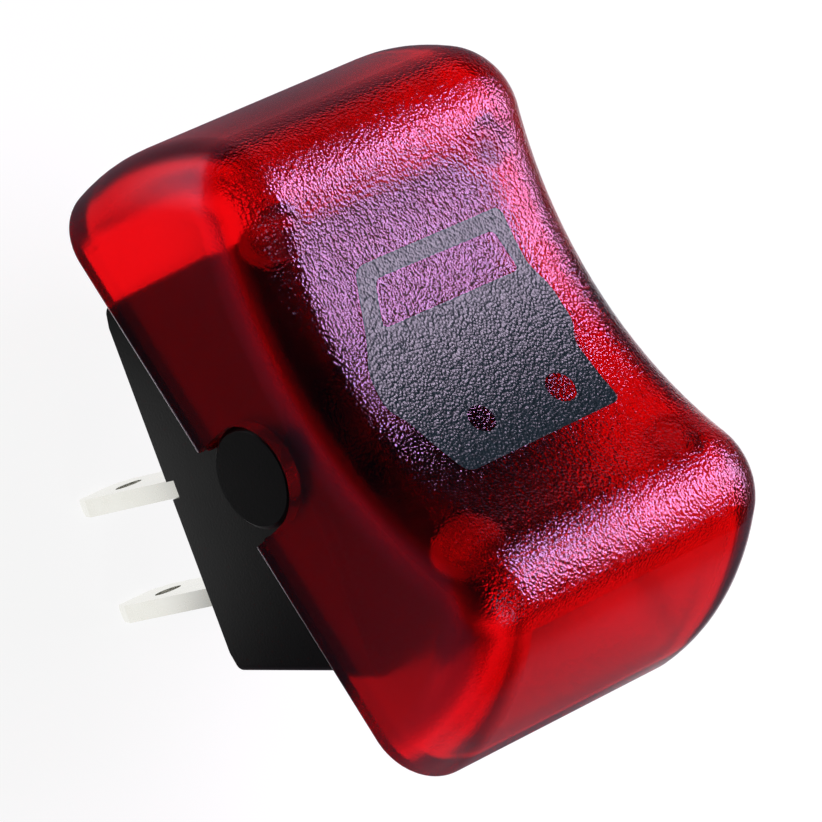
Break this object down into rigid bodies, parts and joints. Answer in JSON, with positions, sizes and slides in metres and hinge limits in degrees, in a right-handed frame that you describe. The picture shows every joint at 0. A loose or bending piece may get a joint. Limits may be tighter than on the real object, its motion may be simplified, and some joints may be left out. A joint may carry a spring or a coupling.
{
  "type": "illuminated rocker switch",
  "caption": "Illuminated rocker switch: red translucent cap with dished top on a black housing, with a see-saw contact, a small lamp and flat tab terminals.",
  "frame": {"origin": "centre of the rear face of the housing, from which the tabs stand out", "axes": "+Z out of the panel toward the finger, +X along the rocker toward the end that is raised at rest, -Y the side with the switch contacts"},
  "size_m": [0.0288, 0.0178, 0.0261],
  "materials": {
    "red_polycarbonate": "translucent, fine spark-eroded grain on the dished top",
    "white_acetal": "moulded, low gloss",
    "spring_steel": "bright drawn wire",
    "black_nylon": "moulded, fine satin",
    "tinned_brass": "bright tin plate",
    "silver": "coined, bright",
    "copper_alloy": "stamped, satin",
    "white_nylon": "moulded, natural",
    "lamp_glass": "drawn, clear",
    "bead_glass": "fused bead",
    "tungsten": "coiled wire",
    "tinned_wire": "tinned copper wire",
    "solder": "set solder, bright",
    "clear_polycarbonate": "polished moulding"
  },
  "bodies": {
    "housing_body": {"housing": "black_nylon", "housing_cover": "black_nylon", "common_terminal": "tinned_brass", "load_terminal": "tinned_brass", "fixed_contact": "silver", "lamp_terminal_left": "tinned_brass", "lamp_terminal_right": "tinned_brass", "lamp_holder": "white_nylon", "lamp_envelope": "lamp_glass", "lamp_bead": "bead_glass", "lamp_filament": "tungsten", "lamp_lead_left": "tinned_wire", "lamp_lead_right": "tinned_wire", "solder_joint_left": "solder", "solder_joint_right": "solder", "lamp_window": "clear_polycarbonate"},
    "rocker": {"rocker_cap": "red_polycarbonate", "plunger_spring": "spring_steel"},
    "slider": {"plunger": "white_acetal"},
    "seesaw_arm": {"seesaw": "copper_alloy", "moving_contact": "silver"}
  },
  "joints": [
    {"name": "rocker_tilt", "type": "hinge", "parent": "housing_body", "child": "rocker", "pos_m": [0, 0, 0.0076], "axis": [0, 1, 0], "range_deg": [0, 37.2]},
    {"name": "seesaw_tilt", "type": "hinge", "parent": "housing_body", "child": "seesaw_arm", "pos_m": [0, -0.0034, 0.0033], "axis": [0, 1, 0], "range_deg": [-12, 0]},
    {"name": "plunger_slide", "type": "slide", "parent": "rocker", "child": "slider", "axis": [-0.319, 0, 0.9478], "range_m": [0, 0.0006], "stiffness_N_per_m": 400, "springref_m": -0.0015, "deforming": ["plunger_spring"]}
  ],
  "couplings": [
    {"joint": "seesaw_tilt", "follows": "rocker_tilt", "ratio": -0.32255}
  ]
}
